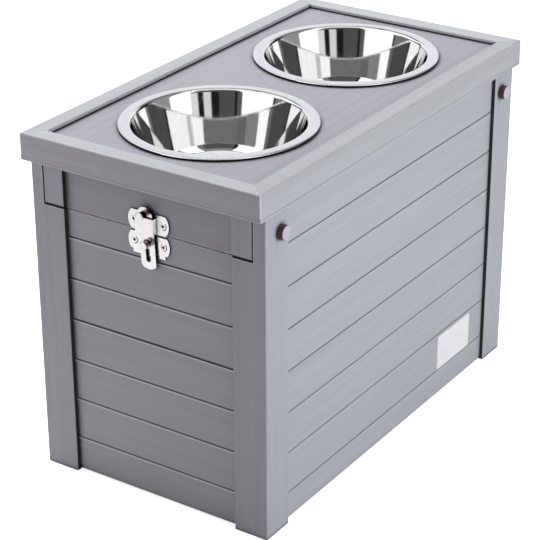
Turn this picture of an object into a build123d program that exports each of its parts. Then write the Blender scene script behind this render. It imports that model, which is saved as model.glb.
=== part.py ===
from build123d import *
import os

# Elevated dog feeder with storage: a box on four notched legs, with a hinged lid that holds two bowls.
# Millimetres. Z is up, Y runs along the long side, and the latch is on the -Y end.
# The origin is on the floor under the middle of the box.

# ---- lid ----
LID_WIDTH = 320.0  # outside, across the short side
LID_LENGTH = 580.0  # outside, along the long side
TOTAL_HEIGHT = 426.0  # floor to the top of the lid's trims
TRIM_HEIGHT = 31.7  # the trims' outer face
TRIM_FLANGE = 22.0  # the trims' flat top
TRIM_FLANGE_THICKNESS = 3.6
PANEL_DROP = 5.5  # the lid panel's top, below the top of the trims
TRIM_WALL = 2.2
TRIM_TOP_ROUND = 1.6
TRIM_LINE_HEIGHT = 3.2  # a fine line runs this far above the trims' lower edge
TRIM_LINE_SIZE = 0.5
MITRE_GAP = 0.1  # each trim's end stops this far short of the corner's diagonal
PANEL_THICKNESS = 10.0
PANEL_EDGE_GAP = 0.2

# ---- legs and box ----
LEG_SIZE = 44.0
LEG_EDGE_ROUND = 1.4
LEG_TOP_DROP = 28.0  # below the top of the trims
LID_SIDE_GAP = 0.4  # between the legs and the inside of the side trims
END_OVERHANG = 13.0  # the lid stands out this far past the legs at each end
NOTCH_DROP = 86.0  # the notches' lower edge and the apron's, below the top of the trims
POST_WIDTH = 26.5  # the lid's corner posts, which fill the notches
POST_SIDE_GAP = 1.6
POST_BOTTOM_GAP = 2.2
POST_DEPTH = 22.0
POST_EDGE_ROUND = 0.8
SIDE_RECESS = 5.0  # side boards, behind the legs' side faces
END_RECESS = 6.0  # end boards, behind the legs' end faces

# ---- boards ----
BOARD_THICKNESS = 9.0
BOARD_BOTTOM = 2.0  # clear of the floor
SLAT_PITCH = 52.0
SIDE_FIRST_GROOVE = 34.5  # height of the lowest groove on the side boards
END_FIRST_GROOVE = 44.5  # height of the lowest groove on the end boards
GROOVE_WIDTH = 2.6
GROOVE_DEPTH = 2.2
SEAM_GROOVE = 3  # this groove, counted from 0, is the seam of the two boards
SEAM_GAP = 0.6
TONGUE_THICKNESS = 3.0
TONGUE_HEIGHT = 4.0
TONGUE_GAP = 0.2
HOUSING_DEPTH = 6.0  # of the grooves in the legs that hold the boards' ends
HOUSING_GAP = 0.15
HOUSING_END_GAP = 0.3
LID_SEAT_GAP = 0.3  # closed lid, above the side boards
APRON_GAP = 1.5  # between the lid's apron and the front board
KNUCKLE_BOARD_GAP = 0.6  # between the hinge knuckles and the rear board
REAR_BOARD_DROP = 35.0  # below the top of the trims, which lets the rear bowl swing over the board
FLOOR_THICKNESS = 8.0
FLOOR_TOP = 22.0
FLOOR_EDGE_GAP = 0.5
CLEAT_WIDTH = 12.0

# ---- pins ----
PIN_INSET = 28.5  # from the legs' end faces
PIN_DROP = 56.0  # below the top of the trims
PIN_HEAD_DIAMETER = 17.0
PIN_HEAD_LENGTH = 8.0
PIN_HEAD_CHAMFER = 0.6
PIN_DIAMETER = 8.0
PIN_LEG_GAP = 0.03  # radial, in the leg
PIN_RUNNING_GAP = 0.06  # radial, in the hinge knuckle
PIN_KNUCKLE_DEPTH = 20.0  # how far a hinge pin reaches into its knuckle
PLUG_PIN_LENGTH = 12.0  # shank of the short pins in the front legs
KNUCKLE_GAP = 0.3  # behind the knuckle, to the legs' end faces

# ---- bowls ----
BOWL_INSET = 155.0  # from the lid's ends to the bowls' middles
BOWL_RIM_DIAMETER = 228.0
BOWL_MOUTH_DIAMETER = 200.0
BOWL_RIM_TOP = 1.6  # below the top of the trims
BOWL_DEPTH = 75.0
BOWL_SHEET = 1.0
BOWL_BASE_DIAMETER = 158.5
BOWL_BASE_ROUND = 20.0
BOWL_MOUTH_ROUND = 4.5
BOWL_RIM_ROUND = 1.6
BOWL_RIM_CURL = 3.0  # the rolled edge turns back this far under the rim
BOWL_SEAT_GAP = 0.3  # the rim's rolled edge, above the lid panel
BOWL_HOLE_GAP = 3.0  # radial, between the bowl's wall and its hole

# ---- latch ----
LATCH_X = 1.5
LATCH_SHEET = 1.5
KEEPER_WIDTH = 55.0
KEEPER_OVERHANG = 1.1  # its ears reach this far below the apron
KEEPER_HEIGHT = 23.4
PLATE_WIDTH = 56.0
PLATE_INSET = 2.1  # below the top of the front board
PLATE_HEIGHT = 21.2
PLATE_TAB_WIDTH = 43.6
PLATE_TAB_HEIGHT = 4.3
EAR_ROUND = 17.0
EAR_CORNER = 1.2
SCREW_SPACING = 39.4
SCREW_HEAD_DIAMETER = 7.4
SCREW_CROWN = 0.6  # rise of the head's middle above the sheet
SCREW_DIAMETER = 3.0
SCREW_LENGTH = 7.0
SCREW_GAP = 0.05
RECESS_LENGTH = 4.2  # of the cross in the screws' heads
RECESS_WIDTH = 1.0
RECESS_DEPTH = 1.3
BAR_WIDTH = 20.0
BAR_THICKNESS = 2.0
BAR_LIFT = 2.8  # the bar's back, off the boards' faces
BAR_TAIL = 30.5  # the bar's lower end, below its stud
BAR_END_ROUND = 15.0
BAR_CORNER = 5.0
BAR_LEAN = 3.5  # degrees that the bar hangs out of upright, about its stud
BAR_TRAVEL = 14.0  # how far it slides up
BAR_STOP_GAP = 0.8  # left above the raised bar, inside the keeper, which takes its leaning corner
BRIDGE_HEIGHT = 19.5
BRIDGE_SIDE_GAP = 1.2
BRIDGE_GAP = 2.0  # in front of the bar
BRIDGE_SHIFT = 1.6  # to the left of the keeper's screws, as the leaning bar needs
TAB_LIFT = 4.5  # the tab's back, off the apron's face
TAB_RISE = 11.9  # above the bridge
KNOB_RISE = 4.1  # above the bridge
KNOB_REACH = 16.6  # from the apron's face to the end of the knob
STUD_INSET = 9.6  # below the top of its plate
STUD_REACH = 13.4  # from the board's face to the end of the stud
STUD_NECK_DIAMETER = 5.0
COLLAR_DIAMETER = 7.6
COLLAR_LENGTH = 3.6
WAIST_DIAMETER = 5.2
HEAD_DIAMETER = 9.6
HEAD_LENGTH = 3.0
HEAD_ROUND = 1.0
KEYHOLE_DIAMETER = 10.6
SLOT_WIDTH = 6.2
SLOT_LENGTH = 22.1  # from the stud to the slot's lower end
PAD_DIAMETER = 15.0  # raised pad of the lower plate, round the stud
PAD_GAP = 0.3
STUD_GAP = 0.3  # the stud's collar, in front of the bar

# ---- worked out ----
HALF_WIDTH = LID_WIDTH / 2
HALF_LENGTH = LID_LENGTH / 2
PANEL_TOP = TOTAL_HEIGHT - PANEL_DROP
PANEL_UNDERSIDE = PANEL_TOP - PANEL_THICKNESS
LID_BOTTOM = TOTAL_HEIGHT - TRIM_HEIGHT
LEG_TOP = TOTAL_HEIGHT - LEG_TOP_DROP
NOTCH_BOTTOM = TOTAL_HEIGHT - NOTCH_DROP
PIN_HEIGHT = TOTAL_HEIGHT - PIN_DROP
LEG_OUTSIDE = HALF_WIDTH - TRIM_WALL - LID_SIDE_GAP
LEG_INSIDE = LEG_OUTSIDE - LEG_SIZE
LEG_END = HALF_LENGTH - END_OVERHANG
LEG_BACK = LEG_END - LEG_SIZE
POST_OUTSIDE = LEG_INSIDE + POST_WIDTH
SIDE_FACE = LEG_OUTSIDE - SIDE_RECESS
SIDE_INSIDE = SIDE_FACE - BOARD_THICKNESS
END_FACE = LEG_END - END_RECESS
END_INSIDE = END_FACE - BOARD_THICKNESS
SIDE_BOARD_TOP = PANEL_UNDERSIDE - LID_SEAT_GAP
FRONT_BOARD_TOP = NOTCH_BOTTOM - APRON_GAP
REAR_BOARD_TOP = TOTAL_HEIGHT - REAR_BOARD_DROP
PIN_Y = LEG_END - PIN_INSET
BOARD_END = HOUSING_DEPTH - HOUSING_END_GAP
KEEPER_BOTTOM = NOTCH_BOTTOM - KEEPER_OVERHANG
BRIDGE_TOP = KEEPER_BOTTOM + BRIDGE_HEIGHT
KNOB_HEIGHT = BRIDGE_TOP + KNOB_RISE
PLATE_TOP = FRONT_BOARD_TOP - PLATE_INSET
STUD_HEIGHT = PLATE_TOP - STUD_INSET
BAR_FACE = BAR_LIFT + BAR_THICKNESS
BAR_TOP = BRIDGE_TOP - LATCH_SHEET - BAR_STOP_GAP - BAR_TRAVEL
BOWL_RADIUS_AT_HOLE = BOWL_MOUTH_DIAMETER / 2 + BOWL_SHEET


def slab(low, high):
    """A box from its lowest to its highest corner."""
    return Pos(*low) * Box(*[h - l for l, h in zip(low, high)], align=(Align.MIN,) * 3)


def upright(outward, distance):
    """A plane whose x looks outward and whose y is up, with its origin at that distance from the middle."""
    direction = Vector(*outward)
    return Plane(origin=direction * distance, x_dir=direction, z_dir=direction.cross(Vector(0, 0, 1)))


def facing(outward, distance, across=0.0, height=0.0):
    """A plane that is seen from outside: its z looks outward and its y is up."""
    direction = Vector(*outward)
    sideways = Vector(0, 0, 1).cross(direction)
    origin = direction * distance + sideways * across + Vector(0, 0, height)
    return Plane(origin=origin, x_dir=sideways, z_dir=direction)


FRONT = (0, -1, 0)
REAR = (0, 1, 0)
LEFT = (-1, 0, 0)
RIGHT = (1, 0, 0)


# ---- legs ----
def front_right_leg():
    """A square post with the notch for the lid's post, two housings for the boards and the pin's bore."""
    middle_x = LEG_OUTSIDE - LEG_SIZE / 2
    middle_y = -LEG_END + LEG_SIZE / 2
    post = Pos(middle_x, middle_y, 0) * extrude(RectangleRounded(LEG_SIZE, LEG_SIZE, LEG_EDGE_ROUND), LEG_TOP)
    notch = slab((LEG_INSIDE, -LEG_END, NOTCH_BOTTOM), (POST_OUTSIDE + POST_SIDE_GAP, -LEG_BACK, LEG_TOP))
    side_housing = slab(
        (SIDE_INSIDE - HOUSING_GAP, -LEG_BACK - HOUSING_DEPTH, BOARD_BOTTOM),
        (SIDE_FACE + HOUSING_GAP, -LEG_BACK, LEG_TOP),
    )
    end_housing = slab(
        (LEG_INSIDE, -END_FACE - HOUSING_GAP, BOARD_BOTTOM),
        (LEG_INSIDE + HOUSING_DEPTH, -END_INSIDE + HOUSING_GAP, NOTCH_BOTTOM),
    )
    bore = Pos(LEG_OUTSIDE, -PIN_Y, PIN_HEIGHT) * Rot(0, 90, 0) * Cylinder(
        PIN_DIAMETER / 2 + PIN_LEG_GAP, 2 * LEG_SIZE
    )
    return post - notch - side_housing - end_housing - bore


# ---- slatted boards ----
def groove_heights(first, low, high):
    """Heights of the grooves that lie inside a board, which leaves out its own edges."""
    heights = []
    height = first
    while height < high - GROOVE_WIDTH:
        if height > low + GROOVE_WIDTH:
            heights.append(height)
        height += SLAT_PITCH
    return heights


def vee(height):
    """A V-groove across the outer face at x = 0."""
    half = GROOVE_WIDTH / 2
    return make_face(Polyline((0, height - half), (-GROOVE_DEPTH, height), (0, height + half), close=True))


def board_profile(first_groove, low, high, is_lower, is_upper):
    """Section of a slatted board: x is 0 at its outer face and y is height."""
    seam = first_groove + SEAM_GROOVE * SLAT_PITCH
    tongue_x = -BOARD_THICKNESS / 2
    section = Pos(-BOARD_THICKNESS / 2, (low + high) / 2) * Rectangle(BOARD_THICKNESS, high - low)
    for height in groove_heights(first_groove, low, high):
        section -= vee(height)
    if is_lower:
        section -= vee(seam)
        section += Pos(tongue_x, high + TONGUE_HEIGHT / 2) * Rectangle(TONGUE_THICKNESS, TONGUE_HEIGHT)
    if is_upper:
        slot_height = TONGUE_HEIGHT - SEAM_GAP
        slot_width = TONGUE_THICKNESS + 2 * TONGUE_GAP
        section -= vee(seam)
        section -= Pos(tongue_x, low + slot_height / 2) * Rectangle(slot_width, slot_height)
    return section


def slatted_board(outward, distance, half_length, first_groove, top, is_lower):
    """The lower or the upper board of a wall, from the floor gap or from the seam up to its top."""
    seam = first_groove + SEAM_GROOVE * SLAT_PITCH
    low = BOARD_BOTTOM if is_lower else seam + SEAM_GAP / 2
    high = seam - SEAM_GAP / 2 if is_lower else top
    section = board_profile(first_groove, low, high, is_lower, not is_lower)
    return extrude(upright(outward, distance) * section, half_length, both=True)


def side_board(outward, is_lower):
    half_length = LEG_BACK + BOARD_END
    return slatted_board(outward, SIDE_FACE, half_length, SIDE_FIRST_GROOVE, SIDE_BOARD_TOP, is_lower)


def end_board(outward, top, is_lower):
    return slatted_board(outward, END_FACE, LEG_INSIDE + BOARD_END, END_FIRST_GROOVE, top, is_lower)


def front_board(is_lower):
    board = end_board(FRONT, FRONT_BOARD_TOP, is_lower)
    return board if is_lower else board - screw_pilots(plate_screw_height())


def rear_board(is_lower):
    """Like the front wall, but its upper board runs up between the hinge knuckles."""
    board = end_board(REAR, REAR_BOARD_TOP, is_lower)
    if is_lower:
        return board
    for side in (-1, 1):
        inner = side * (LEG_INSIDE - KNUCKLE_BOARD_GAP)
        outer = side * (LEG_INSIDE + LEG_SIZE)
        board -= slab(
            (min(inner, outer), LEG_BACK, NOTCH_BOTTOM - POST_BOTTOM_GAP),
            (max(inner, outer), LEG_END, LEG_TOP),
        )
    return board


# ---- floor ----
def floor_board():
    """The storage floor, cut out round the legs."""
    half_x = SIDE_INSIDE - FLOOR_EDGE_GAP
    half_y = END_INSIDE - FLOOR_EDGE_GAP
    board = slab((-half_x, -half_y, FLOOR_TOP - FLOOR_THICKNESS), (half_x, half_y, FLOOR_TOP))
    corner_x = half_x - LEG_INSIDE + FLOOR_EDGE_GAP
    corner_y = half_y - LEG_BACK + FLOOR_EDGE_GAP
    for x in (-half_x, half_x):
        for y in (-half_y, half_y):
            board -= Pos(x, y, FLOOR_TOP) * Box(2 * corner_x, 2 * corner_y, 3 * FLOOR_THICKNESS)
    return board


def floor_cleat(side):
    """A rail along the side board, under the floor's edge."""
    inner = side * (SIDE_INSIDE - CLEAT_WIDTH)
    outer = side * SIDE_INSIDE
    half_y = LEG_BACK - FLOOR_EDGE_GAP
    return slab(
        (min(inner, outer), -half_y, BOARD_BOTTOM),
        (max(inner, outer), half_y, FLOOR_TOP - FLOOR_THICKNESS),
    )


# ---- pins ----
def pin(side, y, shank_length):
    """A headed pin that stands in a leg's side face with its axis along X."""
    head = Cylinder(PIN_HEAD_DIAMETER / 2, PIN_HEAD_LENGTH, align=(Align.CENTER, Align.CENTER, Align.MIN))
    head = chamfer(head.edges().group_by(Axis.Z)[-1], PIN_HEAD_CHAMFER)
    shank = Cylinder(PIN_DIAMETER / 2, shank_length, align=(Align.CENTER, Align.CENTER, Align.MAX))
    return Pos(side * LEG_OUTSIDE, y, PIN_HEIGHT) * Rot(0, side * 90, 0) * (head + shank)


def hinge_pin(side):
    reach = LEG_OUTSIDE - POST_OUTSIDE + PIN_KNUCKLE_DEPTH
    return pin(side, PIN_Y, reach)


def plug_pin(side):
    return pin(side, -PIN_Y, PLUG_PIN_LENGTH)


# ---- lid ----
def lid_trim(outward, reach, half_length):
    """One mitred trim: a deep outer face, a flat top and a fine line above the lower edge."""
    outer_face = Pos(-TRIM_WALL / 2, LID_BOTTOM + TRIM_HEIGHT / 2) * Rectangle(TRIM_WALL, TRIM_HEIGHT)
    flat_top = Pos(-TRIM_FLANGE / 2, TOTAL_HEIGHT - TRIM_FLANGE_THICKNESS / 2) * Rectangle(
        TRIM_FLANGE, TRIM_FLANGE_THICKNESS
    )
    section = outer_face + flat_top
    top_corners = section.vertices().group_by(Axis.Y)[-1]
    section = fillet(top_corners, TRIM_TOP_ROUND)
    line = Pos(0, LID_BOTTOM + TRIM_LINE_HEIGHT) * Rectangle(2 * TRIM_LINE_SIZE, TRIM_LINE_SIZE)
    bar = extrude(upright(outward, reach) * (section - line), half_length, both=True)
    long_edge = half_length - MITRE_GAP
    short_edge = long_edge - TRIM_FLANGE
    inner = -TRIM_FLANGE
    outline = Polyline((0, -long_edge), (0, long_edge), (inner, short_edge), (inner, -short_edge), close=True)
    direction = Vector(*outward)
    above = Plane(origin=direction * reach, x_dir=direction, z_dir=(0, 0, 1))
    return bar & extrude(above * make_face(outline), TOTAL_HEIGHT)


def lid_panel():
    """The recessed top panel, with a round hole for each bowl."""
    edge = TRIM_WALL + PANEL_EDGE_GAP
    panel = slab(
        (-HALF_WIDTH + edge, -HALF_LENGTH + edge, PANEL_UNDERSIDE),
        (HALF_WIDTH - edge, HALF_LENGTH - edge, PANEL_TOP),
    )
    for y in bowl_places():
        panel -= Pos(0, y, PANEL_TOP) * Cylinder(BOWL_RADIUS_AT_HOLE + BOWL_HOLE_GAP, 3 * PANEL_THICKNESS)
    return panel


def lid_apron():
    """The plain board under the front of the lid, between the two front posts."""
    apron = slab((-LEG_INSIDE, -END_FACE, NOTCH_BOTTOM), (LEG_INSIDE, -END_INSIDE, PANEL_UNDERSIDE))
    return apron - screw_pilots(keeper_screw_height())


def lid_front_post(side):
    """Fills the notch of a front leg, flush with the leg's end face."""
    middle_x = side * (LEG_INSIDE + POST_WIDTH / 2)
    middle_y = -LEG_END + POST_DEPTH / 2
    low = NOTCH_BOTTOM + POST_BOTTOM_GAP
    section = RectangleRounded(POST_WIDTH, POST_DEPTH, POST_EDGE_ROUND)
    return Pos(middle_x, middle_y, low) * extrude(section, PANEL_UNDERSIDE - low)


def hinge_knuckle(side):
    """Hangs under the rear of the lid and turns on the hinge pin inside the rear leg's notch."""
    radius = PIN_INSET - KNUCKLE_GAP
    rise = PANEL_UNDERSIDE - PIN_HEIGHT
    front = LEG_SIZE - PIN_INSET
    section = Circle(radius) + Pos(0, rise / 2) * Rectangle(2 * radius, rise)
    kept = Pos((radius - front) / 2, 0) * Rectangle(radius + front, 4 * radius)
    section = (section & kept) - Circle(PIN_DIAMETER / 2 + PIN_RUNNING_GAP)
    middle = side * (LEG_INSIDE + POST_WIDTH / 2)
    plane = Plane(origin=(middle, PIN_Y, PIN_HEIGHT), x_dir=(0, 1, 0), z_dir=(1, 0, 0))
    return extrude(plane * section, POST_WIDTH / 2, both=True)


# ---- bowls ----
def bowl_places():
    return (BOWL_INSET - HALF_LENGTH, HALF_LENGTH - BOWL_INSET)


def bowl(y):
    """A pressed bowl with a flat rim and a rolled edge, turned from one sheet."""
    rim_top = TOTAL_HEIGHT - BOWL_RIM_TOP
    rim_low = PANEL_TOP + BOWL_SEAT_GAP
    rim = BOWL_RIM_DIAMETER / 2
    mouth = BOWL_MOUTH_DIAMETER / 2
    base = BOWL_BASE_DIAMETER / 2
    bottom = rim_top - BOWL_DEPTH
    inside = FilletPolyline(
        (rim - BOWL_RIM_CURL, rim_low),
        (rim, rim_low),
        (rim, rim_top),
        (mouth, rim_top),
        (base, bottom),
        (0, bottom),
        radius=[BOWL_RIM_ROUND, BOWL_RIM_ROUND, BOWL_MOUTH_ROUND, BOWL_BASE_ROUND],
    )
    sheet = make_face(offset(inside, BOWL_SHEET, side=Side.LEFT))
    right_half = Pos(rim, bottom) * Rectangle(2 * rim, 4 * BOWL_DEPTH)
    return Pos(0, y, 0) * revolve(Plane.XZ * (sheet & right_half), Axis.Z)


# ---- latch ----
def keeper_screw_height():
    return KEEPER_BOTTOM + KEEPER_HEIGHT / 2


def plate_screw_height():
    return PLATE_TOP - PLATE_HEIGHT / 2


def screw_places(height):
    """The planes of a plate's two screws, on the face of the boards."""
    return [facing(FRONT, END_FACE, LATCH_X + side * SCREW_SPACING / 2, height) for side in (-1, 1)]


def screw_pilots(height):
    """The holes behind a plate, which the screws' shanks fill."""
    hole = Cylinder(SCREW_DIAMETER / 2 + SCREW_GAP, 2 * SCREW_LENGTH)
    return Compound([plane * hole for plane in screw_places(height)])


def countersink():
    """The cut that a screw's head fills, from a sheet's back to its face."""
    narrow = SCREW_DIAMETER / 2 + SCREW_GAP
    wide = SCREW_HEAD_DIAMETER / 2 + SCREW_GAP
    return Cone(narrow, wide, LATCH_SHEET, align=(Align.CENTER, Align.CENTER, Align.MIN))


def screw():
    """A countersunk screw with a crowned head and a cross recess. Its z is 0 at the sheet's back."""
    shank = SCREW_DIAMETER / 2
    edge = (SCREW_HEAD_DIAMETER / 2, LATCH_SHEET)
    top = (0, LATCH_SHEET + SCREW_CROWN)
    side = Polyline(top, (0, -SCREW_LENGTH), (shank, -SCREW_LENGTH), (shank, 0), edge)
    crown = TangentArc(top, edge, tangent=(1, 0))
    turned = revolve(Plane.XZ * make_face(side + crown), Axis.Z)
    arm = Pos(0, 0, top[1]) * Box(RECESS_LENGTH, RECESS_WIDTH, 2 * RECESS_DEPTH)
    return turned - arm - Rot(0, 0, 90) * arm


def screws(height):
    return Compound([plane * screw() for plane in screw_places(height)])


def ear_outline(width, height):
    """A plate with bulging ends."""
    outline = SlotOverall(width, 2 * EAR_ROUND) & Rectangle(2 * width, height)
    return fillet(outline.vertices(), EAR_CORNER)


def on_latch(height):
    return facing(FRONT, END_FACE, LATCH_X, height)


def on_bridge(height):
    return facing(FRONT, END_FACE, LATCH_X - BRIDGE_SHIFT, height)


def latch_keeper():
    """Two ears, a bridge that the bar runs under, and a round tab above it that carries the knob."""
    middle = keeper_screw_height()
    inner = BAR_WIDTH / 2 + BRIDGE_SIDE_GAP
    outer = inner + LATCH_SHEET
    bridge_back = BAR_FACE + BRIDGE_GAP
    bridge_face = bridge_back + LATCH_SHEET
    bridge_middle = KEEPER_BOTTOM + BRIDGE_HEIGHT / 2
    ears = ear_outline(KEEPER_WIDTH, KEEPER_HEIGHT)
    ears -= Pos(-BRIDGE_SHIFT, 0) * Rectangle(2 * inner, 2 * KEEPER_HEIGHT)
    ears = on_latch(middle) * extrude(ears, LATCH_SHEET)
    cover = Pos(0, 0, bridge_face / 2) * Box(2 * outer, BRIDGE_HEIGHT, bridge_face)
    cover = fillet(cover.edges().filter_by(Axis.Y).group_by(Axis.Z)[-1], LATCH_SHEET)
    channel = Pos(0, 0, bridge_back / 2) * Box(2 * inner, BRIDGE_HEIGHT, bridge_back)
    bridge = on_bridge(bridge_middle) * (cover - channel)
    tab_radius = BAR_WIDTH / 2
    tab_low = BRIDGE_TOP - LATCH_SHEET
    tab_height = LATCH_SHEET + TAB_RISE
    tab = Pos(0, tab_height - tab_radius) * Circle(tab_radius)
    tab &= Pos(0, tab_height / 2) * Rectangle(BAR_WIDTH, tab_height)
    tab -= Pos(0, KNOB_HEIGHT - tab_low) * Circle(STUD_NECK_DIAMETER / 2 + SCREW_GAP)
    tab = on_bridge(tab_low) * Pos(0, 0, TAB_LIFT) * extrude(tab, LATCH_SHEET)
    web_depth = bridge_face - BAR_LIFT
    web = Pos(0, LATCH_SHEET / 2, BAR_LIFT + web_depth / 2) * Box(2 * inner, LATCH_SHEET, web_depth)
    keeper = ears + bridge + tab + on_bridge(tab_low) * web
    for plane in screw_places(middle):
        keeper -= plane * countersink()
    return keeper


def latch_plate():
    """Two ears and a short tab below them, with a raised pad round the stud."""
    middle = plate_screw_height()
    outline = ear_outline(PLATE_WIDTH, PLATE_HEIGHT)
    outline += Pos(0, -(PLATE_HEIGHT + PLATE_TAB_HEIGHT) / 2) * Rectangle(PLATE_TAB_WIDTH, PLATE_TAB_HEIGHT)
    pad = Pos(0, STUD_HEIGHT - middle) * Circle(PAD_DIAMETER / 2)
    plate = extrude(outline, LATCH_SHEET) + extrude(pad, BAR_LIFT - PAD_GAP)
    hole = Pos(0, STUD_HEIGHT - middle, 0) * Cylinder(STUD_NECK_DIAMETER / 2 + SCREW_GAP, 4 * LATCH_SHEET)
    plate = on_latch(middle) * (plate - hole)
    for plane in screw_places(middle):
        plate -= plane * countersink()
    return plate


def stud(place, foot, neck_end, reach):
    """A turned stud: a neck, a collar, a waist and a round head. Distances are from the boards' faces."""
    neck = STUD_NECK_DIAMETER / 2
    collar = COLLAR_DIAMETER / 2
    waist = WAIST_DIAMETER / 2
    head = HEAD_DIAMETER / 2
    collar_end = neck_end + COLLAR_LENGTH
    head_start = reach - HEAD_LENGTH
    outline = Polyline(
        (0, foot),
        (neck, foot),
        (neck, neck_end),
        (collar, neck_end),
        (collar, collar_end),
        (waist, collar_end),
        (waist, head_start),
        (head, head_start),
        (head, reach),
        (0, reach),
        close=True,
    )
    section = make_face(outline)
    outer_corners = section.vertices().group_by(Axis.X)[-1]
    section = fillet(outer_corners, HEAD_ROUND)
    return place * revolve(Plane.XZ * section, Axis.Z)


def latch_knob():
    return stud(on_bridge(KNOB_HEIGHT), TAB_LIFT, TAB_LIFT + LATCH_SHEET, KNOB_REACH)


def latch_stud():
    return stud(on_latch(STUD_HEIGHT), 0, BAR_FACE + STUD_GAP, STUD_REACH)


def latch_bar():
    """A flat bar with a keyhole slot, which slides up on its stud into the keeper's bridge."""
    top = BAR_TOP - STUD_HEIGHT
    bottom = -BAR_TAIL
    slot_end = SLOT_WIDTH / 2 - SLOT_LENGTH
    blank = Pos(0, (top + bottom) / 2) * Rectangle(BAR_WIDTH, top - bottom)
    rounded_end = Pos(0, bottom + BAR_END_ROUND) * Circle(BAR_END_ROUND)
    straight = top - bottom - BAR_END_ROUND
    above = Pos(0, top - straight / 2) * Rectangle(BAR_WIDTH, straight)
    outline = blank & (rounded_end + above)
    lowest = outline.vertices().sort_by(Axis.Y)[0:2]
    outline = fillet(lowest, BAR_CORNER)
    outline -= Circle(KEYHOLE_DIAMETER / 2)
    outline -= Pos(0, slot_end / 2) * Rectangle(SLOT_WIDTH, -slot_end)
    outline -= Pos(0, slot_end) * Circle(SLOT_WIDTH / 2)
    leaned = Rot(0, 0, BAR_LEAN) * extrude(outline, BAR_THICKNESS)
    return on_latch(STUD_HEIGHT) * Pos(0, 0, BAR_LIFT) * leaned


# ---- the assembly ----
corner_leg = front_right_leg()
parts = {
    "leg_front_right": corner_leg,
    "leg_front_left": mirror(corner_leg, Plane.YZ),
    "leg_rear_right": mirror(corner_leg, Plane.XZ),
    "leg_rear_left": mirror(mirror(corner_leg, Plane.XZ), Plane.YZ),
    "front_board_lower": front_board(True),
    "front_board_upper": front_board(False),
    "rear_board_lower": rear_board(True),
    "rear_board_upper": rear_board(False),
    "floor_board": floor_board(),
    "lid_panel": lid_panel(),
    "lid_apron": lid_apron(),
    "lid_trim_front": lid_trim(FRONT, HALF_LENGTH, HALF_WIDTH),
    "lid_trim_rear": lid_trim(REAR, HALF_LENGTH, HALF_WIDTH),
    "bowl_front": bowl(bowl_places()[0]),
    "bowl_rear": bowl(bowl_places()[1]),
    "latch_keeper": latch_keeper(),
    "latch_keeper_screws": screws(keeper_screw_height()),
    "latch_knob": latch_knob(),
    "latch_plate": latch_plate(),
    "latch_plate_screws": screws(plate_screw_height()),
    "latch_stud": latch_stud(),
    "latch_bar": latch_bar(),
}
for side_name, side, outward in (("left", -1, LEFT), ("right", 1, RIGHT)):
    parts[f"side_board_{side_name}_lower"] = side_board(outward, True)
    parts[f"side_board_{side_name}_upper"] = side_board(outward, False)
    parts[f"floor_cleat_{side_name}"] = floor_cleat(side)
    parts[f"hinge_pin_{side_name}"] = hinge_pin(side)
    parts[f"plug_pin_{side_name}"] = plug_pin(side)
    parts[f"lid_trim_{side_name}"] = lid_trim(outward, HALF_WIDTH, HALF_LENGTH)
    parts[f"lid_post_{side_name}"] = lid_front_post(side)
    parts[f"hinge_knuckle_{side_name}"] = hinge_knuckle(side)

os.makedirs("parts", exist_ok=True)
for node, shape in parts.items():
    export_step(shape, f"parts/{node}.step")
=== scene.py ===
import math
from collections import namedtuple

import bmesh
import bpy
from mathutils import Matrix, Vector


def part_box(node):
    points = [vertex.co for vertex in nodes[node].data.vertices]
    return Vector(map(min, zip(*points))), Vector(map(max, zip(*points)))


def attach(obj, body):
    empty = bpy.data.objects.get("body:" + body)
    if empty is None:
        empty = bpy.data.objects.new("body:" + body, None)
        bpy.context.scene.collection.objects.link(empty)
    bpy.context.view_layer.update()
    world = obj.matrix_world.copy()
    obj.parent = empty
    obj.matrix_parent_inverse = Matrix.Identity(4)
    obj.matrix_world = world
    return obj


# Looks of the elevated dog feeder, in metres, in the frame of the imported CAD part: the floor is at Z = 0 and
# the latch is on the -Y end.
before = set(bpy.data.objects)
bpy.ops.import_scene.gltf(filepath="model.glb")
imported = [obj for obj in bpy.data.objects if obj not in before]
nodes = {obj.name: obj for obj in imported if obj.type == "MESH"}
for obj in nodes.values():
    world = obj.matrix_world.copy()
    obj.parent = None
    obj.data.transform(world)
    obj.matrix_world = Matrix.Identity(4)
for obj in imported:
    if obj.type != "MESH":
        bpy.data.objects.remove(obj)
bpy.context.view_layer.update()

MM = 0.001
X, Y, Z = 0, 1, 2
WHITE = (1.0, 1.0, 1.0, 1.0)
SKIN = 0.3 * MM  # the soft edge of a mark that a material draws
REACH_SAMPLES = 8


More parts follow.
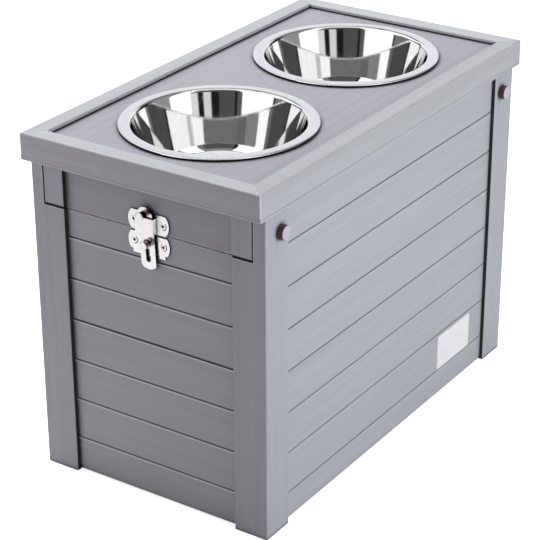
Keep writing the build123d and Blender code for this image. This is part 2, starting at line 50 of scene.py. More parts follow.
# ---- helpers for node trees ----
class Tree:
    """Builds one node tree. A socket given as an input is linked, and any other value is set on it."""

    def __init__(self, owner):
        owner.use_nodes = True
        self.tree = owner.node_tree
        self.tree.nodes.clear()

    def add(self, kind, inputs=(), **settings):
        made = self.tree.nodes.new(kind)
        for key, value in settings.items():
            setattr(made, key, value)
        for key, value in dict(inputs).items():
            if isinstance(value, bpy.types.NodeSocket):
                self.tree.links.new(value, made.inputs[key])
            else:
                made.inputs[key].default_value = value
        return made

    def math(self, operation, *values):
        return self.add("ShaderNodeMath", enumerate(values), operation=operation).outputs[0]

    def plus(self, first, second):
        return self.math("ADD", first, second)

    def minus(self, first, second):
        return self.math("SUBTRACT", first, second)

    def times(self, first, second):
        return self.math("MULTIPLY", first, second)

    def larger(self, first, second):
        return self.math("MAXIMUM", first, second)

    def absolute(self, value):
        return self.math("ABSOLUTE", value)

    def length(self, first, second):
        """The length of a flat vector with these two parts."""
        return self.math("SQRT", self.plus(self.times(first, first), self.times(second, second)))

    def ramp(self, value, low, high, to_low=0.0, to_high=1.0):
        """Goes from to_low to to_high while the value goes from low to high, and stays level beyond them."""
        inputs = {"Value": value, "From Min": low, "From Max": high, "To Min": to_low, "To Max": to_high}
        return self.add("ShaderNodeMapRange", inputs, clamp=True).outputs["Result"]

    def between(self, value, low, high):
        """1 while the value is from low to high, and 0 further than SKIN outside them."""
        return self.times(self.ramp(value, low - SKIN, low), self.ramp(value, high, high + SKIN, 1.0, 0.0))

    def mix(self, factor, first, second):
        return self.add("ShaderNodeMix", {0: factor, 6: first, 7: second}, data_type="RGBA").outputs[2]

    def coordinates(self, kind):
        """The X, Y and Z of the Object coordinates, of the Normal or of the Generated coordinates."""
        source = self.add("ShaderNodeTexCoord").outputs[kind]
        return self.add("ShaderNodeSeparateXYZ", {0: source}).outputs

    def noise(self, scale, detail=3.0, roughness=0.55):
        """Noise with that many features per metre along X, Y and Z."""
        source = self.add("ShaderNodeTexCoord").outputs["Object"]
        stretched = self.add("ShaderNodeMapping", {"Vector": source, "Scale": scale}).outputs["Vector"]
        inputs = {"Vector": stretched, "Scale": 1.0, "Detail": detail, "Roughness": roughness}
        return self.add("ShaderNodeTexNoise", inputs).outputs["Fac"]

    def bump(self, height, distance, strength, normal=None):
        inputs = {"Height": height, "Distance": distance, "Strength": strength}
        if normal is not None:
            inputs["Normal"] = normal
        return self.add("ShaderNodeBump", inputs).outputs["Normal"]

    def reach(self, distance, inside=False):
        """
        How open the surface is within that distance: 1 in the open and less in corners. With inside it looks
        into the body instead, and is 1 on faces and less at edges.
        """
        made = self.add(
            "ShaderNodeAmbientOcclusion", {"Distance": distance}, samples=REACH_SAMPLES, inside=inside
        )
        return made.outputs["AO"]

    def surface(self, **inputs):
        shader = self.add("ShaderNodeBsdfPrincipled", {key.replace("_", " "): v for key, v in inputs.items()})
        self.add("ShaderNodeOutputMaterial", {"Surface": shader.outputs[0]})


def colour(red, green, blue):
    """A colour as seen on screen, 0 to 255, as linear values."""
    return (*[((share / 255 + 0.055) / 1.055) ** 2.4 for share in (red, green, blue)], 1.0)


def scaled(tone, factor, tint=(1.0, 1.0, 1.0)):
    """A tone made lighter or darker by that factor, and tinted."""
    return (*[min(value * factor * share, 1.0) for value, share in zip(tone, tint)], 1.0)


def even(scale):
    return (scale, scale, scale)


def along_axis(axis, along, across):
    """A noise scale that stretches the noise along one axis."""
    return tuple(along if i == axis else across for i in range(3))


# ---- wood-plastic composite ----
# Features of noise per metre, along and across the grain.
FINE_GRAIN = (9.0, 950.0)
STREAKS = (3.0, 170.0)
BANDS = (1.6, 26.0)
DUST = (9.0, 40.0)
SCUFFS = (22.0, 60.0)
SPECKS = 2300.0

GRAIN_SHADE = 0.10  # how far the grain goes to each side of the tone
GRAIN_DEPTH = 0.12 * MM
DUST_SHARE = 0.35
DUST_LIGHT = 1.16
DUST_TINT = (1.0, 1.0, 0.985)
SCUFF_SHARE = 0.30
SCUFF_LIGHT = 1.45
SCUFF_TINT = (0.98, 1.0, 1.03)

LINE_PITCH = 15.7 * MM  # the fine lines on the lid's panel
LINE_WIDTH = 0.8 * MM
LINE_DEPTH = 0.10 * MM
LINE_LIGHT = 0.25
LINE_TINT = (1.1, 1.0, 1.2)
STRIP_SHARE = 0.6  # the most that a strip between two lines goes towards the strip tint
STRIP_TINT = (1.03, 1.03, 0.97)

CORNER_REACH = 6.0 * MM  # how far the dirt and shade of inner corners spread
DEEP_REACH = 14.0 * MM  # the same for the wide shade
# how light and how tinted the painted shade and dirt of inner corners get
SHADE_AND_DIRT_LIGHT = 0.07
SHADE_AND_DIRT_TINT = (1.1, 1.0, 0.95)
EDGE_REACH = 1.2 * MM  # the width of the wear and painted highlight on edges
WEAR_AND_HIGHLIGHT_LIGHT = 2.0
UPWARD_PAINTED_LIGHT = 1.9  # painted light: how much lighter the upward edges of the end boards and the apron are
CORE_AND_SHADE_DARK = (0.020, 0.014, 0.012, 1.0)  # near-black: the dark core that cut faces show with painted shade over it, and painted shade on unlit faces
POST_DARK_FOOT = 1.0 * MM  # the unlit lowest edge of the lid's posts

GROOVE_HALF = 1.3 * MM  # half the width of a V-groove
GROOVE_PITCH = 52.0 * MM
SEAM_GROOVE = 3  # this groove, counted from 0, is the seam of the two boards
SEAM_SHADE = 2.0 * MM  # how far over the seam's middle an end board is painted dark as shade
LIP_WIDTH = 0.75 * MM  # the depth to which the grooves' flanks are as light as the face
LIP_HIGHLIGHT_WIDTH = 1.3 * MM  # the band of painted highlight on the face under each groove
SHADED_WIDTH = 0.8 * MM  # the band of painted shade on the face over each groove
SHADED_LIGHT = 0.45  # how light that band is
SIDE_FIRST_GROOVE = 34.5 * MM  # the height of the middle of the lowest groove
END_FIRST_GROOVE = 44.5 * MM

# The V-grooves of a wall: the axis and the distance of the face that they are cut in, the height of the
# lowest one, how light the painted shade in their depths is, and how strong the painted highlight on their
# lower lips is.
Grooves = namedtuple("Grooves", "side face first depths_light rubbed_light")


def brushed_grain(tree, axis):
    """The fine noise, the streaks, and the whole grain that colour and gloss follow."""
    fine = tree.noise(along_axis(axis, *FINE_GRAIN), detail=4.0, roughness=0.65)
    streak = tree.noise(along_axis(axis, *STREAKS))
    band = tree.noise(along_axis(axis, *BANDS), detail=2.0)
    speck = tree.noise(even(SPECKS), detail=1.0)
    grain = tree.times(fine, 0.34)
    for part, share in ((streak, 0.36), (band, 0.20), (speck, 0.10)):
        grain = tree.math("MULTIPLY_ADD", part, share, grain)
    return fine, streak, grain


def grain_colour(tree, tone, axis, grain, dust, scuffed):
    """The colour of the bare composite, with its dusty streaks and, on the trims, whitish scuffs."""
    darker = scaled(tone, 1 - GRAIN_SHADE)
    lighter = scaled(tone, 1 + GRAIN_SHADE)
    base = tree.mix(tree.ramp(grain, 0.36, 0.64), darker, lighter)
    base = tree.mix(tree.ramp(dust, 0.52, 0.80, 0.0, DUST_SHARE), base, scaled(tone, DUST_LIGHT, DUST_TINT))
    if scuffed:
        scuff = tree.noise(along_axis(axis, *SCUFFS), detail=5.0, roughness=0.75)
        scuff = tree.ramp(scuff, 0.58, 0.74, 0.0, SCUFF_SHARE)
        base = tree.mix(scuff, base, scaled(tone, SCUFF_LIGHT, SCUFF_TINT))
    return base


def drawn_lines(tree, tone, place, base, normal):
    """Draws fine lines along Y, each of its own strength, and tints the strips between them."""
    across = tree.math("DIVIDE", place["X"], LINE_PITCH)
    strip = tree.math("FLOOR", across)
    chance = tree.add("ShaderNodeTexWhiteNoise", {"W": strip}, noise_dimensions="1D").outputs["Value"]
    from_middle = tree.absolute(tree.minus(tree.minus(across, strip), 0.5))
    drawn = tree.ramp(from_middle, 0.5 - LINE_WIDTH / LINE_PITCH, 0.5)
    tinted = tree.ramp(chance, 0.0, 1.0, 0.0, STRIP_SHARE)
    strength = tree.ramp(chance, 0.0, 1.0, 0.18, 0.42)
    base = tree.mix(tinted, base, scaled(tone, 1.0, STRIP_TINT))
    base = tree.mix(tree.times(drawn, strength), base, scaled(tone, LINE_LIGHT, LINE_TINT))
    normal = tree.bump(tree.minus(1.0, drawn), LINE_DEPTH, 0.5, normal)
    return base, normal


def groove_marks(tree, grooves, place, slope, clean_and_unshaded):
    """
    Paints shade into the depths of V-grooves and onto the face just over them in clean_and_unshaded, which is
    1 where no painted shade or dirt lies. Returns it and the share of painted highlight on the grooves' lower
    lips.
    """
    steep = tree.absolute(slope)
    level_face = tree.ramp(steep, 0.1, 0.3, 1.0, 0.0)
    flank = tree.times(tree.ramp(steep, 0.3, 0.6), tree.ramp(steep, 0.90, 0.97, 1.0, 0.0))
    depth = tree.minus(grooves.face, tree.absolute(place[grooves.side]))
    # painted shade in the grooves' depths
    flank_light = tree.ramp(depth, LIP_WIDTH, 1.8 * LIP_WIDTH, 1.0, grooves.depths_light)
    elsewhere = tree.times(clean_and_unshaded, tree.minus(1.0, flank))
    clean_and_unshaded = tree.math("MULTIPLY_ADD", flank, flank_light, elsewhere)
    # a band of painted shade on the face just over each groove
    below = tree.minus(grooves.first - GROOVE_HALF, place["Z"])
    below = tree.math("FLOORED_MODULO", below, GROOVE_PITCH)
    above = tree.minus(GROOVE_PITCH - 2 * GROOVE_HALF, below)
    shaded = tree.ramp(above, 0.5 * SHADED_WIDTH, SHADED_WIDTH, SHADED_LIGHT, 1.0)
    clean_and_unshaded = tree.times(clean_and_unshaded, tree.larger(shaded, tree.minus(1.0, level_face)))
    # painted highlight on the grooves' lower lips
    rising = tree.times(flank, tree.ramp(slope, 0.3, 0.6))
    flank_lip = tree.ramp(depth, 0.8 * LIP_WIDTH, 1.2 * LIP_WIDTH, grooves.rubbed_light, 0.0)
    face_lip = tree.ramp(below, 0.5 * LIP_HIGHLIGHT_WIDTH, LIP_HIGHLIGHT_WIDTH, grooves.rubbed_light, 0.0)
    lips = tree.larger(tree.times(rising, flank_lip), tree.times(level_face, face_lip))
    return clean_and_unshaded, lips


def sawn_and_shaded_faces(tree, sawn_and_shaded, place, base):
    """Paints the dark core, with its shade, near-black on faces nearer the middle planes than sawn_and_shaded,
    where they lie outside the boards.
    """
    for side, other, limit, board_face in zip("XY", "YX", sawn_and_shaded, (end_face, side_face)):
        bare = tree.ramp(tree.absolute(place[side]), limit, limit + SKIN, 1.0, 0.0)
        outside = tree.ramp(tree.absolute(place[other]), board_face - SKIN, board_face)
        base = tree.mix(tree.times(bare, outside), base, CORE_AND_SHADE_DARK)
    return base


def composite(
    name, tone, axis, lined=False, grooves=None, deep=False, faint_marks_below=None, sawn_and_shaded=None, dark_floor=None,
    dark_foot=None, edge_full=0.92
):
    """
    Wood-plastic composite with a brushed grain along one axis. lined adds fine drawn lines. deep adds the
    wide painted shade behind parts that stand off the board, painted light on upward edges and, with grooves,
    a painted shade over the seam. faint_marks_below is a height under which the painted shade and dirt of
    corners are faint and edges show little wear and painted highlight, and it also scuffs the whole body.
    sawn_and_shaded gives, for X and Y, the distance from the middle plane below which a face outside the
    boards shows the dark core with painted shade. dark_floor is the height of an unlit ledge, and dark_foot
    that of an unlit lower edge, both painted near-black as shade. edge_full is how open the surface has to
    be, looking into the body, to show no wear or painted highlight.
    """
    material = bpy.data.materials.new(name)
    tree = Tree(material)
    place = tree.coordinates("Object")
    slope = tree.coordinates("Normal")["Z"]
    fine, streak, grain = brushed_grain(tree, axis)
    dust = tree.noise(along_axis(axis, *DUST), detail=4.0, roughness=0.7)
    base = grain_colour(tree, tone, axis, grain, dust, scuffed=faint_marks_below is not None)
    height = tree.math("MULTIPLY_ADD", fine, 0.6, tree.times(streak, 0.4))
    normal = tree.bump(height, GRAIN_DEPTH, 0.35)
    if lined:
        base, normal = drawn_lines(tree, tone, place, base, normal)

    # painted shade and dirt: inner corners grow dark where the surface is closed in
    open_share = tree.reach(CORNER_REACH)
    clean_and_unshaded = tree.ramp(open_share, 0.42, 0.93)
    if grooves:
        clean_and_unshaded, lips = groove_marks(tree, grooves, place, slope, clean_and_unshaded)
    if faint_marks_below:
        clean_and_unshaded = tree.larger(clean_and_unshaded, tree.ramp(place["Z"], faint_marks_below - SKIN, faint_marks_below, 0.8, 0.0))
    if deep:
        clean_and_unshaded = tree.times(clean_and_unshaded, tree.ramp(tree.reach(DEEP_REACH), 0.22, 0.62, 0.10, 1.0))
    # painted shade over the seam of an end wall's two boards
    if deep and grooves:
        above_seam = tree.minus(place["Z"], grooves.first + SEAM_GROOVE * GROOVE_PITCH)
        clean_and_unshaded = tree.times(clean_and_unshaded, tree.minus(1.0, tree.between(above_seam, -GROOVE_HALF, SEAM_SHADE)))
    base = tree.mix(clean_and_unshaded, scaled(tone, SHADE_AND_DIRT_LIGHT, SHADE_AND_DIRT_TINT), base)
    # painted light: upward edges are made lighter
    if deep:
        base = tree.mix(tree.ramp(slope, 0.90, 0.97), base, scaled(tone, UPWARD_PAINTED_LIGHT))

    # wear and painted highlight on convex edges
    wear_and_highlight = tree.ramp(tree.reach(EDGE_REACH, inside=True), 0.50, edge_full, 1.0, 0.0)
    wear_and_highlight = tree.times(wear_and_highlight, tree.ramp(dust, 0.30, 0.60, 0.45, 0.95))
    wear_and_highlight = tree.times(wear_and_highlight, tree.ramp(open_share, 0.30, 0.50))
    wear_and_highlight = tree.times(wear_and_highlight, tree.ramp(slope, 0.90, 0.98, 1.0, 0.0))
    if grooves:
        wear_and_highlight = tree.times(wear_and_highlight, tree.ramp(slope, -0.5, 0.5, 0.15, 1.0))
        wear_and_highlight = tree.larger(wear_and_highlight, lips)
    if faint_marks_below:
        wear_and_highlight = tree.times(wear_and_highlight, tree.ramp(place["Z"], faint_marks_below - SKIN, faint_marks_below, 0.35, 1.0))
    base = tree.mix(wear_and_highlight, base, scaled(tone, WEAR_AND_HIGHLIGHT_LIGHT))

    # the dark core with painted shade, near-black on faces outside the boards
    if sawn_and_shaded:
        base = sawn_and_shaded_faces(tree, sawn_and_shaded, place, base)
    # painted shade: the unlit ledge and the unlit lower edge are near-black
    if dark_floor:
        ledge = tree.between(place["Z"], dark_floor - SKIN, dark_floor + SKIN)
        base = tree.mix(tree.times(ledge, tree.ramp(slope, 0.5, 0.9)), base, CORE_AND_SHADE_DARK)
    if dark_foot:
        base = tree.mix(tree.between(place["Z"], dark_foot, dark_foot + POST_DARK_FOOT), base, CORE_AND_SHADE_DARK)
    tree.surface(Base_Color=base, Roughness=tree.ramp(grain, 0.35, 0.65, 0.44, 0.56), Normal=normal)
    return material


# ---- steel bowls ----
RIM_START = 101.5 * MM  # the radius at which a bowl's bright inside ends and its satin rim begins
RIM_BLEND = 0.8 * MM
CURL_WIDTH = 2.5 * MM  # the outermost part of a bowl's rim
STEEL_DARKER = (0.74, 0.74, 0.74, 1.0)
STEEL_LIGHTER = (0.80, 0.80, 0.80, 1.0)
STEEL_RIM = (0.85, 0.865, 0.90, 1.0)
UNDER_CURL_SHADE = (0.03, 0.03, 0.035, 1.0)
POLISHED = (0.035, 0.11)  # the lowest and highest roughness
SATIN = (0.26, 0.36)
METAL_SCRATCH = 0.02 * MM  # the depth of the fine scratches in metal


def steel(node):
    """Pressed stainless steel: mirror-bright inside the bowl, satin on the rim, painted shade under the rim's
    curl.
    """
    low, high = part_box(node)
    outer_radius = (high.x - low.x) / 2
    material = bpy.data.materials.new(node + "_steel")
    tree = Tree(material)
    place = tree.coordinates("Object")
    slope = tree.coordinates("Normal")["Z"]
    radius = tree.length(place["X"], tree.minus(place["Y"], (low.y + high.y) / 2))
    rim = tree.ramp(radius, RIM_START - RIM_BLEND, RIM_START + RIM_BLEND)
    scratches = tree.noise((40.0, 40.0, 900.0))
    scuff = tree.noise(even(90.0), detail=5.0, roughness=0.7)
    polished = tree.ramp(scuff, 0.45, 0.8, *POLISHED)
    satin = tree.ramp(scuff, 0.3, 0.7, *SATIN)
    roughness = tree.math("MULTIPLY_ADD", rim, tree.minus(satin, polished), polished)
    base = tree.mix(tree.ramp(scuff, 0.3, 0.7), STEEL_DARKER, STEEL_LIGHTER)
    base = tree.mix(rim, base, STEEL_RIM)
    # painted shade: the outer, downward faces of the rim's curl are near-black, as the shadow under it
    curl = tree.ramp(radius, outer_radius - CURL_WIDTH, outer_radius - CURL_WIDTH + SKIN)
    base = tree.mix(tree.times(curl, tree.ramp(slope, 0.20, 0.40, 1.0, 0.0)), base, UNDER_CURL_SHADE)
    normal = tree.bump(scratches, METAL_SCRATCH, 0.25)
    tree.surface(Base_Color=base, Roughness=roughness, Normal=normal, Metallic=1.0)
    return material


# ---- nickel-plated latch ----
METAL_REACH = 6.0 * MM  # how far the shade of the latch's inner corners spreads
NICKEL_LIGHTER = (0.93, 0.93, 0.94, 1.0)
NICKEL_DARKER = (0.84, 0.83, 0.83, 1.0)
METAL_SHADE = (0.02, 0.018, 0.016, 1.0)
TARNISH_DARKER = (0.30, 0.22, 0.15, 1.0)
TARNISH_LIGHTER = (0.66, 0.56, 0.45, 1.0)
NECK_SHADE = (0.01, 0.009, 0.008, 1.0)
SHEET_THICKNESS = 1.3 * MM  # the latch's sheet metal, with its skin
SCREW_RADIUS = 3.7 * MM
RING_WIDTH = 0.9 * MM  # the shaded side of the countersinks round the screws
RING_SIDE = (0.5 * MM, 1.5 * MM)  # how far to the right of a screw its ring starts and is full
KNOB_FACE_DEPTH = 1.2 * MM  # the bright end of the latch's knob and stud
KNOB_NECK = {"latch_knob": 8.0 * MM, "latch_stud": 1.8 * MM}  # the unlit length behind their faces
KNOB_RISE = 4.0 * MM  # from just over the keeper's bridge up to the knob's middle
UNBOUNDED = 1.0  # a place beyond the whole object

# The edges of sheet metal that are painted dark as shade: those behind the Y of back, and those over the Z of
# top.
DarkEdges = namedtuple("DarkEdges", "back top")


def screw_places(node):
    """The X and Z of the two screws of a node."""
    low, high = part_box(node)
    height = (low.z + high.z) / 2
    return ((low.x + SCREW_RADIUS, height), (high.x - SCREW_RADIUS, height))


def nickel_neck(tree, knob, place, base):
    """Leaves a knob bright at its end, unlit behind that, and tarnished further back."""
    face_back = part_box(knob)[0].y + KNOB_FACE_DEPTH
    neck_back = face_back + KNOB_NECK[knob]
    turned = tree.noise((0.0, 900.0, 0.0), detail=1.0)
    tarnish = tree.mix(turned, TARNISH_DARKER, TARNISH_LIGHTER)
    behind = tree.mix(tree.ramp(place["Y"], neck_back - SKIN, neck_back + SKIN), NECK_SHADE, tarnish)
    return tree.mix(tree.ramp(place["Y"], face_back, face_back + SKIN), base, behind)


def sheet_edges(tree, edges, place, normal):
    """The share of painted shade on the upper and right edges of punched sheet metal."""
    behind = tree.ramp(place["Y"], edges.back - SKIN, edges.back)
    over = tree.ramp(place["Z"], edges.top - SKIN, edges.top)
    side = tree.ramp(tree.larger(normal["X"], normal["Z"]), 0.45, 0.70)
    return tree.times(side, tree.larger(behind, over))


def countersink(tree, screw, place):
    """The share of shade on the right side of the countersink round a screw."""
    aside = tree.minus(place["X"], screw[0])
    up = tree.minus(place["Z"], screw[1])
    ring_end = SCREW_RADIUS + RING_WIDTH
    ring = tree.ramp(tree.length(aside, up), ring_end, ring_end + SKIN, 1.0, 0.0)
    away_from_light = tree.math("MULTIPLY_ADD", up, -0.3, aside)
    return tree.times(ring, tree.ramp(away_from_light, *RING_SIDE))


def nickel(name, knob=None, edges=None, screws=(), is_screw=False):
    """
    Bright nickel plate with a fine drawn grain. knob is a knob's node, which is tarnished behind its face.
    edges says which edges are painted dark as shade, and screws gives the X and Z of each screw that the metal
    is countersunk for. A screw itself has painted shade in its recess and on its rim.
    """
    material = bpy.data.materials.new(name)
    tree = Tree(material)
    place = tree.coordinates("Object")
    normal = tree.coordinates("Normal")
    scratches = tree.noise((2600.0, 2600.0, 120.0))
    scuff = tree.noise(even(260.0), detail=4.0, roughness=0.7)
    base = tree.mix(tree.ramp(scuff, 0.35, 0.75), NICKEL_LIGHTER, NICKEL_DARKER)
    clean_and_unshaded = tree.ramp(tree.reach(METAL_REACH), 0.32, 0.75)
    if knob:
        base = nickel_neck(tree, knob, place, base)
        clean_and_unshaded = tree.larger(clean_and_unshaded, 0.7)
    # painted shade on the upper and right edges of the sheet
    if edges:
        clean_and_unshaded = tree.times(clean_and_unshaded, tree.minus(1.0, sheet_edges(tree, edges, place, normal)))
    # painted shade in the screw's recess and round its rim
    if is_screw:
        straight = tree.absolute(normal["Y"])
        recess = tree.ramp(straight, 0.988, 0.994, 1.0, 0.06)
        clean_and_unshaded = tree.times(clean_and_unshaded, tree.times(recess, tree.ramp(straight, 0.80, 0.88)))
    for screw in screws:
        clean_and_unshaded = tree.times(clean_and_unshaded, tree.minus(1.0, countersink(tree, screw, place)))
    base = tree.mix(clean_and_unshaded, METAL_SHADE, base)
    roughness = tree.ramp(scuff, 0.3, 0.8, 0.16, 0.34)
    bumps = tree.bump(scratches, METAL_SCRATCH, 0.3)
    tree.surface(Base_Color=base, Roughness=roughness, Normal=bumps, Metallic=1.0)
    return material


# ---- pins ----
PIN_DARKER = (0.035, 0.016, 0.018, 1.0)
PIN_LIGHTER = (0.11, 0.055, 0.055, 1.0)
PIN_FACE_DARKER = colour(190, 184, 196)
PIN_FACE_LIGHTER = colour(210, 206, 218)
PIN_FACE = (0.5 * MM, 0.2 * MM)  # how far under a pin's end its pale face starts and is full
PIN_TURNING = 0.05 * MM


def pin_plastic(node):
    """Maroon plastic whose end face is pale where it was cut."""
    face_x = max(abs(corner.x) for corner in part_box(node))
    material = bpy.data.materials.new(node + "_plastic")
    tree = Tree(material)
    from_middle = tree.absolute(tree.coordinates("Object")["X"])
    turned = tree.noise((1600.0, 60.0, 60.0))
    grain = tree.noise(even(700.0))
    side = tree.mix(turned, PIN_DARKER, PIN_LIGHTER)
    face = tree.mix(grain, PIN_FACE_DARKER, PIN_FACE_LIGHTER)
    base = tree.mix(tree.ramp(from_middle, face_x - PIN_FACE[0], face_x - PIN_FACE[1]), side, face)
    normal = tree.bump(turned, PIN_TURNING, 0.4)
    tree.surface(Base_Color=base, Roughness=tree.ramp(grain, 0.3, 0.7, 0.38, 0.5), Normal=normal)
    return material


# ---- which material each CAD node has ----
LEG_TONE = colour(177, 182, 190)
BOARD_TONE = colour(178, 182, 189)
SIDE_BOARD_TONE = colour(182, 186, 193)
APRON_TONE = colour(172, 173, 181)
# painted light: the trims are one composite in a lighter copy at the ends and a darker copy at the sides
END_TRIM_LIT_TONE = colour(191, 194, 199)
SIDE_TRIM_SHADED_TONE = colour(181, 184, 189)
PANEL_TONE = colour(169, 169, 180)

POST_BOTTOM_GAP = 2.2 * MM  # from the floor of the legs' notches up to the lid's posts
TRIM_LINE_BELOW = 6.0 * MM  # the trims' fine line is lower than this over their lower edge
side_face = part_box("side_board_right_lower")[1].x
end_face = -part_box("front_board_lower")[0].y
leg_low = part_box("leg_rear_right")[0]
post_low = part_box("lid_post_right")[0]
over_trim_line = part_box("lid_trim_right")[0].z + TRIM_LINE_BELOW
over_bridge = sum(corner.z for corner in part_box("latch_knob")) / 2 - KNOB_RISE
side_grooves = Grooves("X", side_face, SIDE_FIRST_GROOVE, depths_light=0.40, rubbed_light=0.08)
end_grooves = Grooves("Y", end_face, END_FIRST_GROOVE, depths_light=0.22, rubbed_light=0.90)
keeper_edges = DarkEdges(back=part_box("latch_keeper")[1].y - SHEET_THICKNESS, top=over_bridge)
plate_edges = DarkEdges(back=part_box("latch_plate")[1].y - SHEET_THICKNESS, top=UNBOUNDED)
bar_edges = DarkEdges(back=-UNBOUNDED, top=UNBOUNDED)

leg = composite(
    "leg_composite", LEG_TONE, Z, sawn_and_shaded=(leg_low.x, leg_low.y), dark_floor=post_low.z - POST_BOTTOM_GAP,
    edge_full=1.0
)
post = composite("post_composite", LEG_TONE, Z, sawn_and_shaded=(post_low.x, 0.0), dark_foot=post_low.z)
side_board = composite("side_board_composite", SIDE_BOARD_TONE, Y, grooves=side_grooves)
end_board = composite("end_board_composite", BOARD_TONE, X, grooves=end_grooves, deep=True)
apron = composite("apron_composite", APRON_TONE, X, deep=True)
side_trim = composite("side_trim_composite", SIDE_TRIM_SHADED_TONE, Y, faint_marks_below=over_trim_line)
end_trim = composite("end_trim_composite", END_TRIM_LIT_TONE, X, faint_marks_below=over_trim_line)
panel = composite("panel_composite", PANEL_TONE, Y, lined=True)
keeper = nickel("keeper_nickel", edges=keeper_edges, screws=screw_places("latch_keeper_screws"))
plate = nickel("plate_nickel", edges=plate_edges, screws=screw_places("latch_plate_screws"))
bar = nickel("bar_nickel", edges=bar_edges)
screw_head = nickel("screw_nickel", is_screw=True)

# The first entry that a node's name starts with is the node's material.
SHARED_LOOKS = {
    "leg_": leg,
    "lid_post": post,
    "hinge_knuckle": post,
    "side_board": side_board,
    "floor": side_board,
    "front_board": end_board,
    "rear_board": end_board,
    "lid_apron": apron,
    "lid_trim_left": side_trim,
    "lid_trim_right": side_trim,
    "lid_trim": end_trim,
    "lid_panel": panel,
    "latch_keeper_screws": screw_head,
    "latch_plate_screws": screw_head,
    "latch_keeper": keeper,
    "latch_plate": plate,
    "latch_bar": bar,
}


def look_of(name):
    """The material of a CAD node. Knobs, pins and bowls each have their own."""
    for start, material in SHARED_LOOKS.items():
        if name.startswith(start):
            return material
    if name in KNOB_NECK:
        return nickel(name + "_nickel", knob=name)
    if "_pin_" in name:
        return pin_plastic(name)
    return steel(name)


for name, node in nodes.items():
    node.data.materials.clear()
    node.data.materials.append(look_of(name))


# ---- the blank sticker on the right side wall ----
STICKER_LOW = (116.5 * MM, 36.0 * MM)  # its lower corner on the board: Y, Z
STICKER_HIGH = (198.5 * MM, 82.5 * MM)
STICKER_THICKNESS = 0.2 * MM
STICKER_CORNER = 2.0 * MM
PAPER_LIGHTER = colour(253, 254, 255)
PAPER_DARKER = colour(246, 248, 250)
PAPER_FIBRE = 0.03 * MM


def rounded_outline(low, high, radius, steps=6):
    """Points round a rectangle with round corners, in Y and Z."""
    corners = (
        (high[0] - radius, high[1] - radius),
        (low[0] + radius, high[1] - radius),
        (low[0] + radius, low[1] + radius),
        (high[0] - radius, low[1] + radius),
    )
    points = []
    for quarter, (y, z) in enumerate(corners):
        for step in range(steps + 1):
            angle = math.radians(90 * (quarter + step / steps))
            points.append((y + radius * math.cos(angle), z + radius * math.sin(angle)))
    return points


def sticker_paper():
    """White paper, a little soiled."""
    material = bpy.data.materials.new("sticker_paper")
    tree = Tree(material)
    fibre = tree.noise(even(900.0))
    soiled = tree.ramp(tree.noise(even(45.0)), 0.35, 0.75)
    base = tree.mix(soiled, PAPER_LIGHTER, PAPER_DARKER)
    normal = tree.bump(fibre, PAPER_FIBRE, 0.3)
    tree.surface(Base_Color=base, Roughness=tree.ramp(fibre, 0.3, 0.7, 0.42, 0.55), Normal=normal)
    return material


def sticker():
    """A thin blank sheet on the face of the right side wall."""
    made = bmesh.new()
    outline = rounded_outline(STICKER_LOW, STICKER_HIGH, STICKER_CORNER)
    under = [made.verts.new((side_face, y, z)) for y, z in outline]
    over = [made.verts.new((side_face + STICKER_THICKNESS, y, z)) for y, z in outline]
    made.faces.new(over)
    made.faces.new(under[::-1])
    for i in range(len(outline)):
        made.faces.new((under[i - 1], under[i], over[i], over[i - 1]))
    mesh = bpy.data.meshes.new("blank_sticker")
    made.to_mesh(mesh)
    made.free()
    mesh.materials.append(sticker_paper())
    piece = bpy.data.objects.new("blank_sticker", mesh)
    bpy.context.scene.collection.objects.link(piece)
    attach(piece, "box")


sticker()

# ---- floor ----
FLOOR_HALF = 6.0
FLOOR_COLOUR = (0.8, 0.8, 0.8, 1.0)
FLOOR_SEEN = 0.78  # glow that makes the floor white to the camera
FLOOR_MIRRORED = 0.22  # glow that polished metal mirrors


def white_floor():
    """A material that is lit as pale paper, and glows for the camera and in reflections."""
    material = bpy.data.materials.new("floor_white")
    tree = Tree(material)
    path = tree.add("ShaderNodeLightPath").outputs
    seen = tree.larger(path["Is Camera Ray"], path["Is Transmission Ray"])
    strength = tree.math("MULTIPLY_ADD", path["Is Glossy Ray"], FLOOR_MIRRORED, tree.times(seen, FLOOR_SEEN))
    paper = tree.add("ShaderNodeBsdfDiffuse", {"Color": FLOOR_COLOUR}).outputs[0]
    glow = tree.add("ShaderNodeEmission", {"Strength": strength}).outputs[0]
    both = tree.add("ShaderNodeAddShader", {0: paper, 1: glow}).outputs[0]
    tree.add("ShaderNodeOutputMaterial", {"Surface": both})
    return material


def studio_floor():
    """A square at Z = 0 that the object stands on."""
    made = bmesh.new()
    bmesh.ops.create_grid(made, x_segments=1, y_segments=1, size=FLOOR_HALF)
    mesh = bpy.data.meshes.new("floor")
    made.to_mesh(mesh)
    made.free()
    mesh.materials.append(white_floor())
    floor = bpy.data.objects.new("floor", mesh)
    bpy.context.scene.collection.objects.link(floor)


studio_floor()

# ---- world ----
FILL = (0.05, 0.05, 0.05, 1.0)  # the world's even light
UNLIT_STUDIO = 0.015  # what the steel mirrors between the patches
SOFT_EDGE = 1.0  # of each patch, in degrees

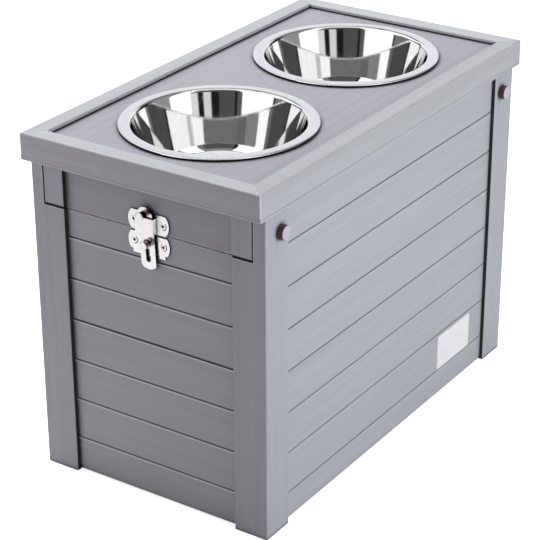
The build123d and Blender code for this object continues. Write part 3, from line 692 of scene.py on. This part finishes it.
# What the steel mirrors: the middle and half width in degrees round from the latch end, positive to the
# right, then the lowest and highest elevation, and the brightness.
STUDIO = {
    "right softbox": (87.5, 14.5, -10, 64, 1.6),
    "right softbox's edge": (68, 5, -10, 16, 0.85),
    "right softbox's spill": (69, 6, 16, 64, 0.20),
    "strip light": (50.5, 5, -10, 16, 0.80),
    "grey screen": (24.5, 10.5, -10, 16, 0.075),
    "grey screen's edge": (7.5, 3, -10, 16, 0.10),
    "camera side": (37, 27, 16, 64, 0.085),
    "light over the camera": (33, 33, 50, 64, 0.20),
    "left softbox": (-18, 22, -10, 16, 1.45),
    "left softbox's top": (-24.5, 28.5, 16, 64, 1.45),
    "left wall": (-56, 13, -10, 16, 0.20),
    "left panel": (-81, 17, 16, 64, 1.5),
    "left panel's join": (-58.5, 5.5, 16, 64, 0.80),
    "back wall": (214, 46, -10, 33, 1.02),
    "back wall's top": (211.5, 49.5, 34, 64, 0.225),
    "back corner": (150, 12, 34, 64, 0.19),
    "right rear wall": (120, 18, -10, 64, 0.33),
    "ceiling": (0, 180, 66, 90, 1.0),
}


def studio_world():
    """White to the camera, an even fill for the surfaces, and the studio's patches for reflections."""
    world = bpy.data.worlds.new("studio")
    bpy.context.scene.world = world
    tree = Tree(world)
    path = tree.add("ShaderNodeLightPath").outputs
    way = tree.coordinates("Generated")
    level = tree.length(way["X"], way["Y"])
    elevation = tree.math("DEGREES", tree.math("ARCTAN2", way["Z"], level))
    mirrored = UNLIT_STUDIO
    for middle, half, low, high, brightness in STUDIO.values():
        turn = math.radians(middle)
        towards = tree.times(way["Y"], -math.cos(turn))
        towards = tree.math("MULTIPLY_ADD", way["X"], math.sin(turn), towards)
        aside = tree.math("DEGREES", tree.math("ARCCOSINE", tree.math("DIVIDE", towards, level)))
        patch = tree.ramp(aside, half - SOFT_EDGE, half + SOFT_EDGE, brightness, 0.0)
        patch = tree.times(patch, tree.ramp(elevation, low - SOFT_EDGE, low + SOFT_EDGE))
        patch = tree.times(patch, tree.ramp(elevation, high - SOFT_EDGE, high + SOFT_EDGE, 1.0, 0.0))
        mirrored = tree.plus(patch, mirrored)
    seen = tree.larger(path["Is Camera Ray"], path["Is Transmission Ray"])
    light = tree.mix(seen, tree.mix(path["Is Glossy Ray"], FILL, mirrored), WHITE)
    background = tree.add("ShaderNodeBackground", {"Color": light, "Strength": 1.0}).outputs[0]
    tree.add("ShaderNodeOutputWorld", {"Surface": background})


studio_world()

# ---- lamps ----
LAMPS_AIM = (0.0, 0.0, 0.25)


def softbox(name, place, size, watts, tint=(1.0, 1.0, 1.0)):
    """A square lamp that metal doesn't mirror."""
    lamp = bpy.data.lights.new(name, "AREA")
    lamp.shape = "RECTANGLE"
    lamp.size = size
    lamp.size_y = size
    lamp.energy = watts
    lamp.color = tint
    holder = bpy.data.objects.new(name, lamp)
    holder.visible_glossy = False
    holder.location = place
    holder.rotation_euler = (Vector(LAMPS_AIM) - Vector(place)).to_track_quat("-Z", "Y").to_euler()
    bpy.context.scene.collection.objects.link(holder)


softbox("top", (0.2, 0.2, 2.2), 2.0, 12.0, (0.98, 0.975, 1.0))
softbox("top_left", (-1.4, 0.3, 1.8), 1.4, 38.8)
softbox("right", (2.0, 0.3, 0.6), 1.0, 12.5, (1.0, 0.96, 0.97))
softbox("right_near", (1.3, -0.25, 0.75), 0.7, 5.1, (0.93, 0.98, 1.0))
softbox("top_rear", (0.3, 1.5, 2.0), 1.2, 4.2)
softbox("left_near", (-0.8, -0.75, 0.7), 0.5, 2.8, (1.0, 0.83, 0.84))

# ---- camera ----
CAMERA_AZIMUTH = 33.809  # degrees round from the latch end, to the right
CAMERA_ELEVATION = 25.763
CAMERA_ROLL = -0.261
CAMERA_DISTANCE = 2.3562  # back from where it aims
CAMERA_AIM = (-0.0093, -0.0200, 0.1888)
CAMERA_LENS = 128.73  # in millimetres, like the sensor
SENSOR_WIDTH = 36.0


def turned(degrees, axis):
    return Matrix.Rotation(math.radians(degrees), 4, axis)


camera = bpy.data.objects.new("camera", bpy.data.cameras.new("camera"))
camera.data.sensor_width = SENSOR_WIDTH
camera.data.lens = CAMERA_LENS
turn = turned(CAMERA_AZIMUTH, "Z") @ turned(90 - CAMERA_ELEVATION, "X") @ turned(CAMERA_ROLL, "Z")
back = turn @ Vector((0, 0, 1))
camera.matrix_world = Matrix.Translation(Vector(CAMERA_AIM) + back * CAMERA_DISTANCE) @ turn
bpy.context.scene.collection.objects.link(camera)
bpy.context.scene.camera = camera
bpy.context.scene.view_settings.view_transform = "Standard"
